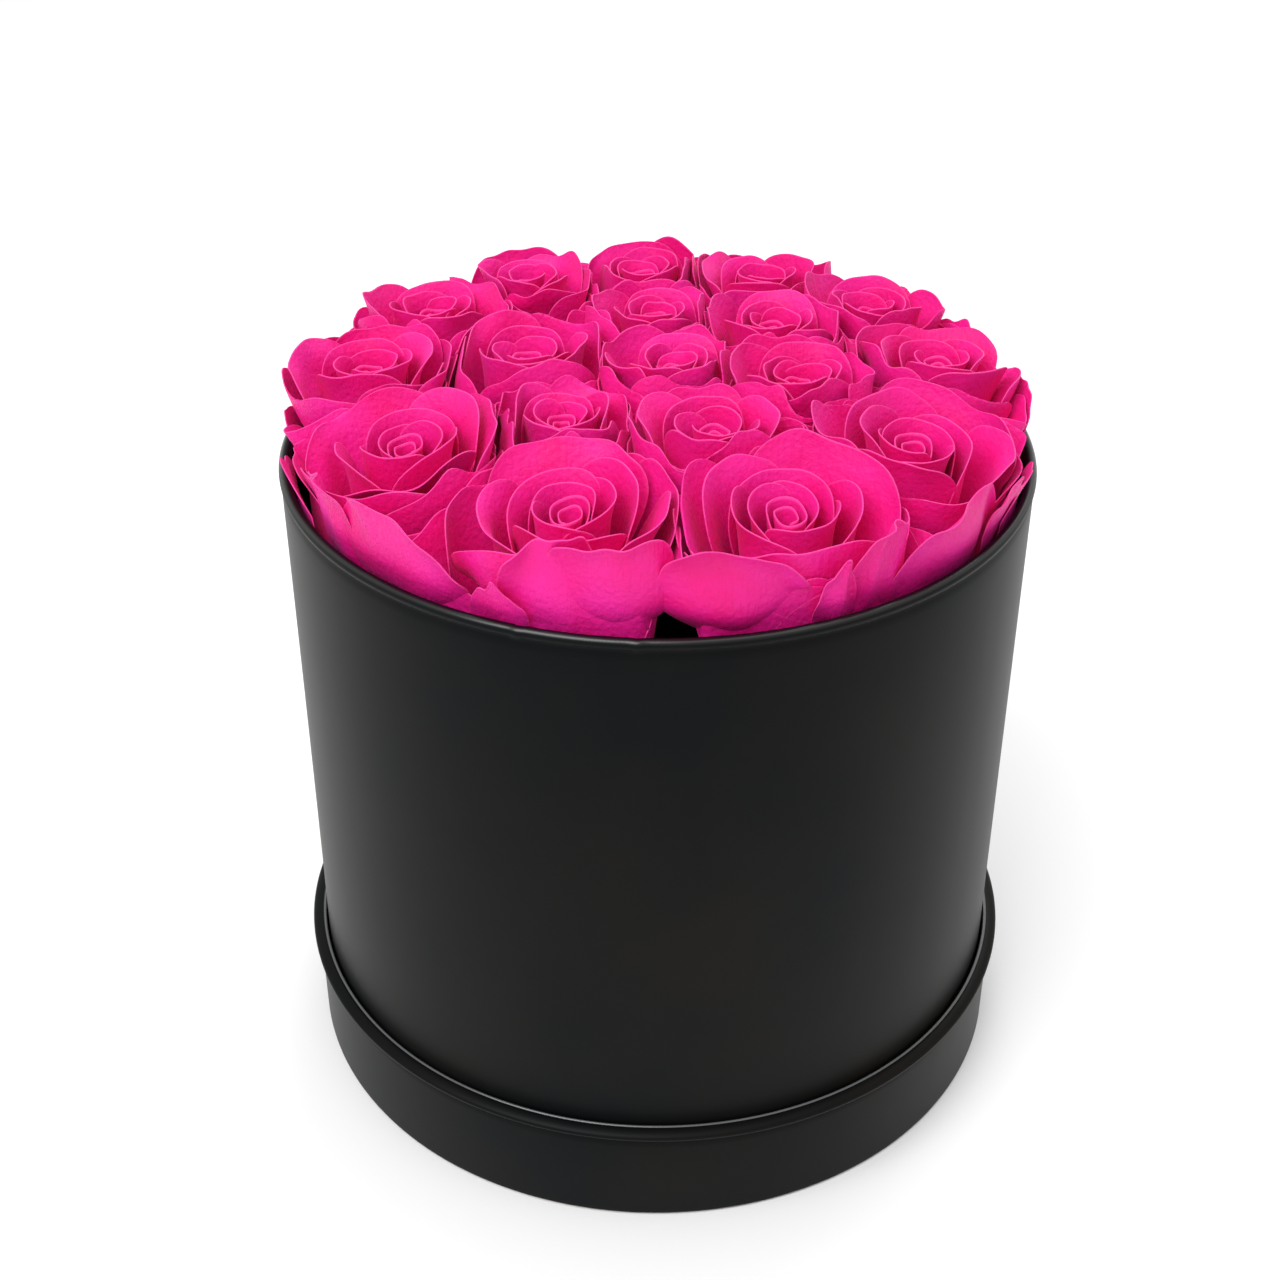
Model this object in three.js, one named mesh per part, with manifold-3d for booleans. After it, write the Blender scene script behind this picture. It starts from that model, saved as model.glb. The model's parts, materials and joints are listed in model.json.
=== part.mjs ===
// A round hat box of eighteen preserved roses, standing in its own upturned lid.
//
// Units are millimetres and +Z is up. The origin is the centre of the lid's underside, which is
// what the box stands on; -Y is the front.
//
// From the outside in: the shallow lid is a tray of board with a ring round its rim, covered in
// black paper. The drum stands loose in it. It is a board tube on a board disc, with the covering
// paper turned over its rim and a lining paper inside. Two discs of dry foam fill it, under a sheet
// of black paper, and each rose is a soft head on a short green stem that is pushed into the upper
// disc.
import * as THREE from 'three';
import { mergeVertices } from 'three/addons/utils/BufferGeometryUtils.js';
import Module from 'manifold-3d';

const manifold = await Module();
manifold.setup();

// Driving dimensions of the box
const DRUM_RADIUS = 100;
const DRUM_WALL = 1.6;
const DRUM_ROLL = 0.4; // how far the rounded rim stands out from its wall
const RIM_TOP = 186.9;
const LID_RADIUS = 103.3;
const LID_WALL = 1.3;
const LID_ROLL = 1.9;
const LID_HEIGHT = 32.8;
const ROLL_HEIGHT = 3;
const ROLL_LEAD = 0.3; // height over which the paper starts to leave the wall
const WALL_CROWN = 0.8; // how far a board's chamfered top edge rises
const COVER_INSET = 1.5; // how much smaller a disc of paper under a floor is than the wall
const PANEL_THICKNESS = 2.4;
const BASE_THICKNESS = 2;
const PAPER = 0.4;
const LINING = 0.3;
const GLUE_GAP = 0.1; // between glued sheets, and under whatever stands loose
const FIT_GAP = 0.2; // round a disc set inside a wall
const LID_TURN_IN = 14; // how far the covering paper goes down inside each rim
const DRUM_TURN_IN = 18;

// Driving dimensions of the filling
const FOAM_RADIUS = 96.9;
const FOAM_JOIN = 76; // height where the lower disc ends and the upper one begins
const FOAM_TOP = 150;
const FOAM_COVER_RADIUS = 96.5;
const STEM_RADIUS = 2.2;
const STEM_DEPTH = 30; // length of stem inside the foam
const STEM_CLEARANCE = 0.3;
const HEAD_HEIGHT = 44;
const HEAD_GAP = 0.6; // between neighbouring heads
const HEAD_LIMIT = 96.8; // how far from the box's axis the heads may spread
const CALYX_HEIGHT = 8;
const CALYX_RADIUS = 7.5;
const CALYX_BEVEL = 2;
const STEM_POINT = 4; // length of the stem's sharpened end

// How round things are
const BOX_SEGMENTS = 64;
const HEAD_SEGMENTS = 20;
const STEM_SEGMENTS = 8;
const ROLL_STEPS = 5;

// Each rose: where it stands, the half width of its head where nothing presses on it, and the
// height of its outer petals' edge.
const ROSES = [
  { place: 'front_left', x: -21, y: -66, halfWidth: 27, top: 206.5 },
  { place: 'front_right', x: 31, y: -66, halfWidth: 27, top: 206.5 },
  { place: 'right_front', x: 64, y: -29, halfWidth: 26, top: 205.5 },
  { place: 'right', x: 76, y: 20, halfWidth: 22, top: 205 },
  { place: 'right_back', x: 61, y: 53, halfWidth: 20, top: 206 },
  { place: 'back_right', x: 31, y: 74, halfWidth: 20, top: 206 },
  { place: 'back', x: -5, y: 78, halfWidth: 19.5, top: 206 },
  { place: 'back_left', x: -38, y: 72, halfWidth: 18.5, top: 206 },
  { place: 'left_back', x: -64, y: 50, halfWidth: 21, top: 206 },
  { place: 'left', x: -78, y: 13, halfWidth: 22, top: 205.5 },
  { place: 'left_front', x: -63, y: -31, halfWidth: 25, top: 205.5 },
  { place: 'inner_front_left', x: -24, y: -24, halfWidth: 21.5, top: 209 },
  { place: 'inner_front_right', x: 14, y: -29, halfWidth: 22.5, top: 209 },
  { place: 'inner_right', x: 37, y: 0, halfWidth: 21, top: 209 },
  { place: 'inner_back_right', x: 32, y: 34, halfWidth: 19.5, top: 209 },
  { place: 'inner_back', x: -1, y: 40, halfWidth: 18, top: 209 },
  { place: 'inner_left', x: -35, y: 14, halfWidth: 22, top: 209 },
  { place: 'centre', x: 4, y: 6, halfWidth: 19.5, top: 210 },
];

// Heights that follow from the stack of sheets, from the table up
const lidPanelBottom = PAPER + GLUE_GAP;
const lidPanelTop = lidPanelBottom + PANEL_THICKNESS;
const lidLiningTop = lidPanelTop + GLUE_GAP + LINING;
const drumCoverBottom = lidLiningTop + GLUE_GAP;
const drumBaseBottom = drumCoverBottom + PAPER + GLUE_GAP;
const drumBaseTop = drumBaseBottom + BASE_THICKNESS;
const drumLiningTop = drumBaseTop + GLUE_GAP + LINING;

// The two round walls. radius is the covering paper's outside, and inside is the radius of the
// room within, where the paper has been turned in.
const underPaper = PAPER + GLUE_GAP;
const LID = {
  radius: LID_RADIUS,
  inside: LID_RADIUS - LID_WALL - 2 * underPaper,
  roll: LID_ROLL,
  bottom: lidPanelBottom,
  top: LID_HEIGHT,
  turnInEnd: LID_HEIGHT - LID_TURN_IN,
};
const DRUM = {
  radius: DRUM_RADIUS,
  inside: DRUM_RADIUS - DRUM_WALL - 2 * underPaper,
  roll: DRUM_ROLL,
  bottom: drumBaseBottom,
  top: RIM_TOP,
  turnInEnd: RIM_TOP - DRUM_TURN_IN,
};

function material(color, roughness) {
  return new THREE.MeshStandardMaterial({ color, roughness, metalness: 0 });
}

const coveringPaper = () => material(0x141517, 0.42);
const liningPaper = () => material(0x1b1b1d, 0.8);
const greyBoard = () => material(0x8d867a, 0.9);
const dryFoam = () => material(0x3d5a44, 0.95);
const petals = () => material(0xf0148c, 0.6);
const greenStem = () => material(0x4d6b2c, 0.75);

// A solid of revolution about +Z from a profile of [radius, height] pairs.
function turned(profile, segments) {
  const points = profile.map(([radius, height]) => new THREE.Vector2(radius, height));
  const geometry = new THREE.LatheGeometry(points, segments);
  geometry.rotateX(Math.PI / 2);
  return geometry;
}

function disc(radius, bottom, top) {
  return turned([[0, bottom], [radius, bottom], [radius, top], [0, top]], BOX_SEGMENTS);
}

// The ellipse that rounds a rim, inset by some of its thickness: from where it leaves the wall's
// outside, round its outermost point and over to its innermost one.
function rollOutline(wall, inset) {
  const middle = (wall.radius + wall.roll + wall.inside) / 2;
  const halfWidth = (wall.radius + wall.roll - wall.inside) / 2;
  const start = -Math.acos((wall.radius - middle) / halfWidth);
  const points = [];
  for (let step = 0; step <= ROLL_STEPS; step += 1) {
    const angle = start + ((Math.PI - start) * step) / ROLL_STEPS;
    points.push([
      middle + (halfWidth - inset) * Math.cos(angle),
      wall.top - ROLL_HEIGHT / 2 + (ROLL_HEIGHT / 2 - inset) * Math.sin(angle),
    ]);
  }
  return points;
}

function turnedRing(outline) {
  return turned([...outline, outline[0]], BOX_SEGMENTS);
}

// Covering paper: up the outside of a wall, over its rim and down inside.
function coveringSleeve(wall) {
  const outline = (inset) => {
    const roll = rollOutline(wall, inset);
    return [
      [wall.radius - inset, wall.bottom],
      [wall.radius - inset, roll[0][1] - ROLL_LEAD],
      ...roll,
      [wall.inside + inset, wall.turnInEnd],
    ];
  };
  return turnedRing([...outline(0), ...outline(PAPER).reverse()]);
}

// The board ring under a covering sleeve. Its top edge is chamfered on both sides.
function wallRing(wall) {
  const outer = wall.radius - underPaper;
  const inner = wall.inside + underPaper;
  const shoulder = wall.top - ROLL_HEIGHT / 2;
  return turnedRing([
    [inner, wall.bottom],
    [outer, wall.bottom],
    [outer, shoulder],
    [(outer + inner) / 2, shoulder + WALL_CROWN],
    [inner, shoulder],
  ]);
}

// The ring glued round the outside of a wall's rim, which makes its roll stand out.
function rimRing(wall) {
  const inner = wall.radius - underPaper + GLUE_GAP;
  const roll = rollOutline(wall, underPaper).filter(([radius]) => radius > inner);
  const lowest = roll[0][1];
  const highest = roll[roll.length - 1][1] - GLUE_GAP;
  return turnedRing([[inner, lowest], ...roll, [inner, highest]]);
}

// Lining paper: a cup over the floor and up the wall to the end of the turned-in paper.
function liningCup(wall, floorTop) {
  const outer = wall.inside + PAPER;
  const wallTop = wall.turnInEnd - FIT_GAP;
  const floorBottom = floorTop - LINING;
  const profile = [
    [0, floorBottom],
    [outer, floorBottom],
    [outer, wallTop],
    [outer - LINING, wallTop],
    [outer - LINING, floorTop],
    [0, floorTop],
  ];
  return turned(profile, BOX_SEGMENTS);
}

// A closed three.js geometry as a solid that can be cut, and back.
function toSolid(geometry) {
  const bare = geometry.clone();
  bare.deleteAttribute('normal');
  bare.deleteAttribute('uv');
  const merged = mergeVertices(bare);
  return new manifold.Manifold(new manifold.Mesh({
    numProp: 3,
    vertProperties: new Float32Array(merged.attributes.position.array),
    triVerts: new Uint32Array(merged.index.array),
  }));
}

function toGeometry(solid) {
  const { vertProperties, triVerts } = solid.getMesh();
  const geometry = new THREE.BufferGeometry();
  geometry.setAttribute('position', new THREE.BufferAttribute(vertProperties, 3));
  geometry.setIndex(new THREE.BufferAttribute(triVerts, 1));
  geometry.computeVertexNormals();
  return geometry;
}

// A disc with a hole for every stem, from a height up through the disc's top.
function discWithStemHoles(radius, bottom, top, holesFrom) {
  const overshoot = 1;
  const depth = top - holesFrom + overshoot;
  let solid = toSolid(disc(radius, bottom, top));
  for (const { x, y } of ROSES) {
    const holeRadius = STEM_RADIUS + STEM_CLEARANCE;
    const hole = new THREE.CylinderGeometry(holeRadius, holeRadius, depth, STEM_SEGMENTS);
    hole.rotateX(Math.PI / 2);
    hole.translate(x, y, holesFrom + depth / 2);
    solid = solid.subtract(toSolid(hole));
  }
  return toGeometry(solid);
}

// How far a head reaches from its middle in one direction. Heads press on each other, and each
// gets its share of the way to every neighbour, so the outline has flats where they meet.
function reach(rose, angle) {
  let distance = rose.halfWidth;
  for (const other of ROSES) {
    if (other !== rose) {
      const apart = Math.hypot(other.x - rose.x, other.y - rose.y);
      const share = rose.halfWidth / (rose.halfWidth + other.halfWidth);
      const facing = Math.cos(angle - Math.atan2(other.y - rose.y, other.x - rose.x));
      if (facing > 0) {
        distance = Math.min(distance, (apart * share - HEAD_GAP / 2) / facing);
      }
    }
  }
  const along = rose.x * Math.cos(angle) + rose.y * Math.sin(angle);
  const fromAxis = Math.hypot(rose.x, rose.y);
  const toLimit = Math.sqrt(along ** 2 + HEAD_LIMIT ** 2 - fromAxis ** 2) - along;
  return Math.min(distance, toLimit);
}

// The soft head: a closed bowl shape that stands on the calyx, widest just under its top.
function roseHead(rose) {
  const shape = [
    [0, HEAD_HEIGHT],
    [0.25, HEAD_HEIGHT],
    [0.7, 34],
    [0.92, 20],
    [1, 8],
    [0.92, 2],
    [0.6, 0],
    [0, 0],
  ];
  const geometry = turned(shape.map(([share, below]) => [share, rose.top - below]), HEAD_SEGMENTS);
  const position = geometry.attributes.position;
  for (let index = 0; index < position.count; index += 1) {
    const x = position.getX(index);
    const y = position.getY(index);
    const spread = reach(rose, Math.atan2(y, x));
    position.setXY(index, x * spread, y * spread);
  }
  geometry.computeVertexNormals();
  return geometry;
}

// The stem's point is in the foam, and its calyx holds the head.
function roseStem(top) {
  const calyxTop = top - HEAD_HEIGHT - STEM_CLEARANCE;
  const calyxBottom = calyxTop - CALYX_HEIGHT;
  const tip = FOAM_TOP - STEM_DEPTH;
  return turned([
    [0, tip],
    [STEM_RADIUS, tip + STEM_POINT],
    [STEM_RADIUS, calyxBottom],
    [CALYX_RADIUS, calyxTop - CALYX_BEVEL],
    [CALYX_RADIUS - CALYX_BEVEL, calyxTop],
    [0, calyxTop],
  ], STEM_SEGMENTS);
}

const flowerBox = new THREE.Group();

function add(parent, name, geometry, surface) {
  const mesh = new THREE.Mesh(geometry, surface);
  mesh.name = name;
  parent.add(mesh);
}

function addLid() {
  const lid = new THREE.Group();
  const panelRadius = LID.inside + underPaper - FIT_GAP;
  add(lid, 'lid_panel_cover', disc(LID_RADIUS - COVER_INSET, 0, PAPER), coveringPaper());
  add(lid, 'lid_panel', disc(panelRadius, lidPanelBottom, lidPanelTop), greyBoard());
  add(lid, 'lid_wall', wallRing(LID), greyBoard());
  add(lid, 'lid_rim_ring', rimRing(LID), greyBoard());
  add(lid, 'lid_covering', coveringSleeve(LID), coveringPaper());
  add(lid, 'lid_lining', liningCup(LID, lidLiningTop), liningPaper());
  flowerBox.add(lid);
}

function addDrum() {
  const drum = new THREE.Group();
  const coverRadius = DRUM_RADIUS - COVER_INSET;
  const coverTop = drumCoverBottom + PAPER;
  const baseRadius = DRUM.inside + underPaper - FIT_GAP;
  add(drum, 'drum_base_cover', disc(coverRadius, drumCoverBottom, coverTop), coveringPaper());
  add(drum, 'drum_base', disc(baseRadius, drumBaseBottom, drumBaseTop), greyBoard());
  add(drum, 'drum_tube', wallRing(DRUM), greyBoard());
  add(drum, 'drum_covering', coveringSleeve(DRUM), coveringPaper());
  add(drum, 'drum_lining', liningCup(DRUM, drumLiningTop), liningPaper());
  flowerBox.add(drum);
}

function addFilling() {
  const filling = new THREE.Group();
  const holesFrom = FOAM_TOP - STEM_DEPTH - STEM_CLEARANCE;
  const coverBottom = FOAM_TOP + GLUE_GAP;
  const coverTop = coverBottom + PAPER;
  add(
    filling,
    'foam_lower_disc',
    disc(FOAM_RADIUS, drumLiningTop + GLUE_GAP, FOAM_JOIN - GLUE_GAP),
    dryFoam(),
  );
  add(
    filling,
    'foam_upper_disc',
    discWithStemHoles(FOAM_RADIUS, FOAM_JOIN, FOAM_TOP, holesFrom),
    dryFoam(),
  );
  add(
    filling,
    'foam_cover_sheet',
    discWithStemHoles(FOAM_COVER_RADIUS, coverBottom, coverTop, FOAM_TOP),
    liningPaper(),
  );
  for (const rose of ROSES) {
    const stand = new THREE.Group();
    stand.position.set(rose.x, rose.y, 0);
    add(stand, `rose_${rose.place}`, roseHead(rose), petals());
    add(stand, `stem_${rose.place}`, roseStem(rose.top), greenStem());
    filling.add(stand);
  }
  flowerBox.add(filling);
}

addLid();
addDrum();
addFilling();

export default flowerBox;
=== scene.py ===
# A black hat box of preserved roses, standing in its upturned lid. Metres, +Z up, -Y the front.
import json
import math
from collections import namedtuple

import bmesh
import bpy
import numpy as np
from mathutils import Matrix, Vector


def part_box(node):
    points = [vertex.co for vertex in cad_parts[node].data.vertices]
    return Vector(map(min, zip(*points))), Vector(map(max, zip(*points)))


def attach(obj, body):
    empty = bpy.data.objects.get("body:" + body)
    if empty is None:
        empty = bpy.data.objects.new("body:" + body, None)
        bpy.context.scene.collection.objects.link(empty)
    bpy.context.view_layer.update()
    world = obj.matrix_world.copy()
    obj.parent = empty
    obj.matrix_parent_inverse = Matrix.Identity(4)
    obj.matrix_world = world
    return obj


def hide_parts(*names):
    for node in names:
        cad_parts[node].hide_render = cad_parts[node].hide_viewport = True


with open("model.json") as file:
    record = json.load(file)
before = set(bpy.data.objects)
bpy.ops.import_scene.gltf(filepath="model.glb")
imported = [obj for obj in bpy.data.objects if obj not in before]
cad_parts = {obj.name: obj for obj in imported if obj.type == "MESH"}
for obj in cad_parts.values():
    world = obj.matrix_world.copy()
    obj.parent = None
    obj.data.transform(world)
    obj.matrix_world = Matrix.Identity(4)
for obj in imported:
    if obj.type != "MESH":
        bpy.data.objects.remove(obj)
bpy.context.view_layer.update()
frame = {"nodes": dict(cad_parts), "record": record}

MM = 0.001
TURN = 2 * math.pi

# Camera: how far in front of the box's axis and how high it stands, and where it looks
CAMERA_BACK = 0.4687
CAMERA_HEIGHT = 0.4283
CAMERA_PITCH = 0.5788
CAMERA_YAW = -0.0098
CAMERA_ROLL = 0.0013
CAMERA_LENS = 55.03

# The papers of the box
PAPER = 0.4 * MM
LINING = 0.3 * MM
LINING_BEND = 1.2 * MM  # radius of the bend between a lining's floor and its wall
LINING_GAP = 0.2 * MM  # between a lining's top edge and the covering paper turned down to it
COVER_INSET = 1.5 * MM  # how much smaller the disc under a floor is than the wall round it
ROLL_HEIGHT = 3 * MM  # of the rolled rims
GROOVE = 0.3 * MM  # how far the paper is pressed in under a rolled rim
FOOT_ROUND = 0.45 * MM
WAVE_HEIGHT = 0.1 * MM  # of the slow waves in the hand-laid paper
SEAM_STEP = 0.3 * MM
SEAM_LAP = 0.16  # radians over which the paper rises to its overlapping edge
CREASE_WIDTH = 0.012  # radians
CREASE_DEPTH = 0.35 * MM
# Gloss values of the paper, which also paint its colour: the wall lighter towards its foot
# (painted reflection) and the groove under the rim darker (painted shade)
WALL_GLOSS = 0.064
GROOVE_GLOSS = 0.02
ROUND_SEGMENTS = 600  # round the outside of the box
INSIDE_SEGMENTS = 240  # round its linings and the foam
FOAM_EDGE = 1.5 * MM

# Petals: a rose's petals stand in a spiral from the bud outwards, each a golden angle on. Their
# radii are shares of the head's half width.
GOLDEN_ANGLE = math.radians(137.508)
PETAL_RADII = (0.25, 0.31, 0.37, 0.42, 0.48, 0.58, 0.65, 0.73, 0.82, 0.89, 0.96, 1.03, 1.09)
PETAL_THICKNESS = 0.3 * MM
PETAL_GRID = 31
EDGE_HIGHLIGHT_START = 0.985  # where a petal's painted highlight along its edge starts, as a share of the way to its outline
PETAL_FOOT = 4 * MM  # how far from the stem's axis a petal starts
PETAL_MARGIN = 0.4  # share of a petal that bends outwards at its edge
MARGIN_LENGTH = PETAL_MARGIN * 16 * MM
USUAL_HALF_WIDTH = 27 * MM  # of a head whose petals lean by the plain amounts
SKIRT_COUNT = 5
SKIRT_REACH = 1.6
FREE_REACH = 1.12  # how far past its half width a head spreads where nothing is in its way

# How the heads share the room in the drum
INNER_ROSES = 60 * MM  # roses nearer the drum's axis than this don't touch its wall
HEAD_GAP = 0.25 * MM
CORNER_SHARPNESS = 12  # of a head's outline where two neighbours' limits meet
OVERLAP = 0.4  # how steeply a head leans over the one behind it
OVERLAP_DEPTH = 9 * MM
FRONT_TILT = 0.17
BACK_TILT = 0.06
WALL_ROOM = 4.4 * MM  # kept free for the loose petals by the wall
LOOSE_ROOM = 0.6 * MM  # between those and the wall
SOFT_STOP = 4 * MM  # how far before the wall a petal starts to bend away from it
OVERHANG = 0.7  # how fast a head at the side or back spreads over the rim
LOOSE_OVERHANG = 0.4
OVERHANG_HEIGHT = 20 * MM

# Stems
STEM_RADIUS = 2.2 * MM
STEM_SEGMENTS = 24
HIP_HEIGHT = 8 * MM
SEPAL_COUNT = 5
SEPAL_THICKNESS = 0.5 * MM

# The loose petals by the drum's wall: where each stands round the drum and its half width in
# degrees (-90 is the front), its height over the rim, how far it starts below it and how far
# inside the wall it stands in mm, and its shape, with tip, lean, slope, fold and curl in mm
WallPetal = namedtuple("WallPetal", "centre half height depth inside tip tip_at lean bend slope "
                                    "square fold curl")
WALL_PETALS = {
    "front_left": (WallPetal(-105, 7.5, 21, 22, 3.8, 2.5, 0.7, 0.0, 0.7, 1.0, 3.2, -2.5, 1.0),
                   WallPetal(-96.6, 9.2, 23, 9, 2.2, 0.0, 0.0, 0.5, 0.4, 1.5, 3.6, 0.0, 4.0),
                   WallPetal(-112.5, 4.6, 7.5, 12, 1.2, 3.5, 0.1, 0.5, 0.3, 1.0, 2.1, 0.8, 0.5)),
    "left_front": (WallPetal(-147, 7, 17, 22, 2.8, 2.0, 0.2, 0.5, 0.6, -1.0, 2.4, 1.5, 1.0),
                   WallPetal(-131, 13, 17, 14, 1.8, 4.0, -0.3, 0.0, 0.5, -1.5, 2.3, 3.0, 2.0),
                   WallPetal(-162, 10, 9, 22, -1.5, 0.5, 0.2, 1.0, 0.9, 1.0, 2.2, 1.0, 0.5)),
    "front_right": (WallPetal(-78.6, 11.4, 20, 9, 2.0, 3.0, -0.55, 0.5, 0.7, -5.5, 2.8, 0.0, 4.0),
                    WallPetal(-64, 3.4, 11, 14, 2.4, 2.0, 0.3, 0.0, 0.3, 0.5, 2.4, 1.5, 0.5),
                    WallPetal(-57, 5.0, 22, 22, 3.2, 2.0, -0.2, 0.5, 0.8, 2.0, 2.6, 2.0, 1.0)),
    "right_front": (WallPetal(-42, 12, 16, 18, 1.6, 1.5, 0.5, 0.0, 0.8, 1.0, 3.0, 1.0, 2.5),
                    WallPetal(-29, 4.5, 12, 14, 0.0, 2.0, 0.2, 0.5, 0.4, 0.5, 2.4, 1.0, 0.5),
                    WallPetal(-19, 9, 9, 18, -1.5, 0.5, 0.0, 1.0, 0.9, -1.0, 2.2, 1.0, 0.5)),
}

# The gap by the rim between the two front roses, where the dark inside shows
GAP_ANGLE = math.radians(-87.2)
GAP_WIDTH = math.radians(2.8)
GAP_DEPTH = 24 * MM
GAP_FOOT = 5 * MM  # height over the rim where the heads start to close it
GAP_TOP = 11 * MM  # and where they have closed it


# ---------------------------------------------------------------- meshes

def new_piece(name, vertices, faces, surface, smooth=True, merge=False):
    mesh = bpy.data.meshes.new(name)
    mesh.from_pydata([tuple(v) for v in vertices], [], [tuple(f) for f in faces])
    mesh.materials.append(surface)
    if merge:
        shape = bmesh.new()
        shape.from_mesh(mesh)
        bmesh.ops.remove_doubles(shape, verts=shape.verts, dist=0.001 * MM)
        shape.to_mesh(mesh)
        shape.free()
    if smooth:
        mesh.polygons.foreach_set("use_smooth", [True] * len(mesh.polygons))
    mesh.update()
    piece = bpy.data.objects.new(name, mesh)
    bpy.context.scene.collection.objects.link(piece)
    return piece


def turned_mesh(profile, segments, shift):
    """A closed profile of (radius, height) turned about +Z. shift(angle, height) moves a point
    outwards."""
    angles = np.arange(segments) * TURN / segments
    radius, height = np.array(profile)[:, 0, None], np.array(profile)[:, 1, None]
    out = radius + shift(angles[None, :], height)
    vertices = np.stack([out * np.cos(angles), out * np.sin(angles), height + 0 * out], -1)
    index = np.arange(vertices.shape[0] * segments).reshape(-1, segments)
    above, after = np.roll(index, -1, 0), np.roll(index, -1, 1)
    faces = np.stack([index, after, np.roll(above, -1, 1), above], -1)
    return vertices.reshape(-1, 3).tolist(), faces.reshape(-1, 4).tolist()


def sheet_to_shell(points, thickness):
    """A grid of points as a closed thin shell: vertices and faces."""
    normal = np.cross(np.gradient(points, axis=0), np.gradient(points, axis=1))
    normal = normal / np.maximum(np.linalg.norm(normal, axis=-1, keepdims=True), 1e-12)
    rows, columns = points.shape[:2]
    front = (points + normal * thickness / 2).reshape(-1, 3)
    back = (points - normal * thickness / 2).reshape(-1, 3)
    index = np.arange(rows * columns).reshape(rows, columns)
    a, b = index[:-1, :-1].ravel(), index[1:, :-1].ravel()
    c, d = index[1:, 1:].ravel(), index[:-1, 1:].ravel()
    faces = np.stack([a, b, c, d], -1)
    behind = np.stack([d, c, b, a], -1) + rows * columns
    border = np.concatenate([index[:-1, 0], index[-1, :-1], index[:0:-1, -1], index[0, :0:-1]])
    after = np.roll(border, -1)
    rim = np.stack([after, border, border + rows * columns, after + rows * columns], -1)
    return np.concatenate([front, back]), np.concatenate([faces, behind, rim])


def joined(parts):
    """Several meshes, each (vertices, faces), as one."""
    starts = np.cumsum([0] + [len(vertices) for vertices, _ in parts[:-1]])
    vertices = np.concatenate([vertices for vertices, _ in parts])
    faces = np.concatenate([faces + first for (_, faces), first in zip(parts, starts)])
    return vertices.tolist(), faces.tolist()


def smooth_step(value, start, end):
    share = np.clip((value - start) / (end - start), 0, 1)
    return share * share * (3 - 2 * share)


# ---------------------------------------------------------------- materials

def new_material(name, roughness):
    surface = bpy.data.materials.new(name)
    surface.use_nodes = True
    nodes = surface.node_tree.nodes
    shader = nodes["Principled BSDF"]
    shader.inputs["Roughness"].default_value = roughness
    return surface, nodes, surface.node_tree.links, shader


def object_noise(nodes, links, scale, detail=4.0, stretch=(1, 1, 1)):
    place = nodes.new("ShaderNodeTexCoord")
    mapping = nodes.new("ShaderNodeMapping")
    mapping.inputs["Scale"].default_value = stretch
    noise = nodes.new("ShaderNodeTexNoise")
    noise.inputs["Scale"].default_value = scale
    noise.inputs["Detail"].default_value = detail
    links.new(place.outputs["Object"], mapping.inputs["Vector"])
    links.new(mapping.outputs["Vector"], noise.inputs["Vector"])
    return noise.outputs["Fac"]


def mesh_value(nodes, name):
    attribute = nodes.new("ShaderNodeAttribute")
    attribute.attribute_name = name
    return attribute.outputs["Fac"]


def colour_ramp(nodes, links, factor, low, high, start=0.35, end=0.65):
    ramp = nodes.new("ShaderNodeValToRGB")
    ramp.color_ramp.elements[0].position = start
    ramp.color_ramp.elements[0].color = (*low, 1)
    ramp.color_ramp.elements[1].position = end
    ramp.color_ramp.elements[1].color = (*high, 1)
    links.new(factor, ramp.inputs["Fac"])
    return ramp.outputs["Color"]


def value_range(nodes, links, factor, low, high, start=0.0, end=1.0):
    change = nodes.new("ShaderNodeMapRange")
    change.inputs["From Min"].default_value = start
    change.inputs["From Max"].default_value = end
    change.inputs["To Min"].default_value = low
    change.inputs["To Max"].default_value = high
    links.new(factor, change.inputs["Value"])
    return change.outputs["Result"]


def mix_colour(nodes, links, factor, first, second):
    """Mixes two colours, each a tuple or a socket."""
    mix = nodes.new("ShaderNodeMix")
    mix.data_type = "RGBA"
    for socket, colour in (("A", first), ("B", second)):
        if isinstance(colour, tuple):
            mix.inputs[socket].default_value = (*colour, 1)
        else:
            links.new(colour, mix.inputs[socket])
    links.new(factor, mix.inputs["Factor"])
    return mix.outputs["Result"]


def add_bump(nodes, links, shader, height, distance, strength=1.0):
    bump = nodes.new("ShaderNodeBump")
    bump.inputs["Distance"].default_value = distance
    bump.inputs["Strength"].default_value = strength
    links.new(height, bump.inputs["Height"])
    previous = shader.inputs["Normal"]
    if previous.is_linked:
        links.new(previous.links[0].from_socket, bump.inputs["Normal"])
    links.new(bump.outputs["Normal"], shader.inputs["Normal"])


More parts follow.
